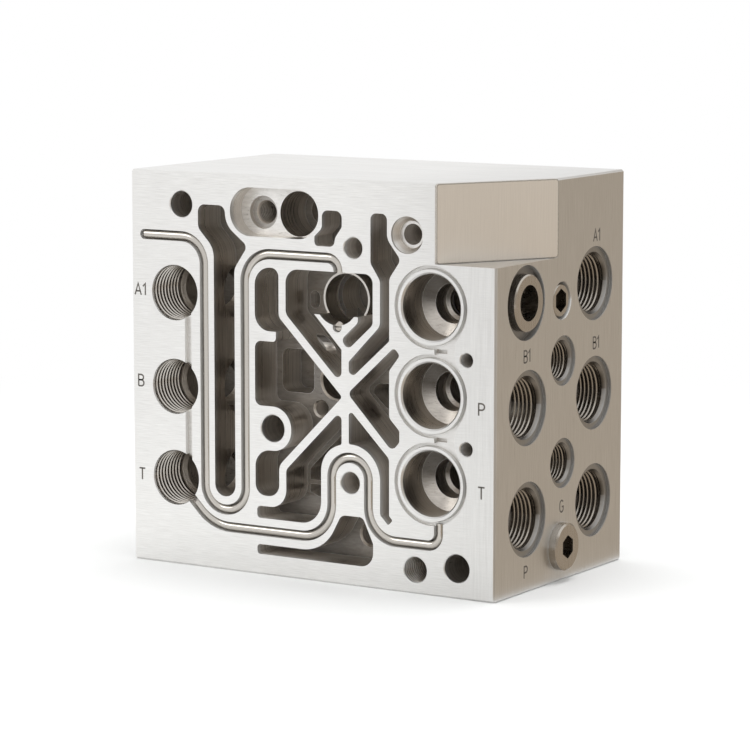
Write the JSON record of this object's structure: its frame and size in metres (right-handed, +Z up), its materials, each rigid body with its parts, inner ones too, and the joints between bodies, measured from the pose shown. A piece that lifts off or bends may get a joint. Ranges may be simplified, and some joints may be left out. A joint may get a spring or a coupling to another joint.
{
  "type": "manifold block",
  "caption": "Rectangular hydraulic manifold block with milled galleries, cartridge cavities, threaded ports, pilot tubes in grooves and a plate on a cut corner.",
  "frame": {"origin": "middle of the base", "axes": "+X across the front to the right, +Y from the front to the back, +Z up"},
  "size_m": [0.1685, 0.1003, 0.155],
  "materials": {
    "body": "machined",
    "tube": "polished steel",
    "insert": "turned",
    "plate": "satin"
  },
  "bodies": {
    "root": {"manifold_block": "body", "upper_pilot_tube": "tube", "lower_pilot_tube": "tube", "valve_sleeve": "insert", "orifice_screw": "insert", "seat_collar": "insert", "socket_plug": "insert", "gauge_port_plug": "insert", "corner_plate": "plate"}
  },
  "joints": []
}
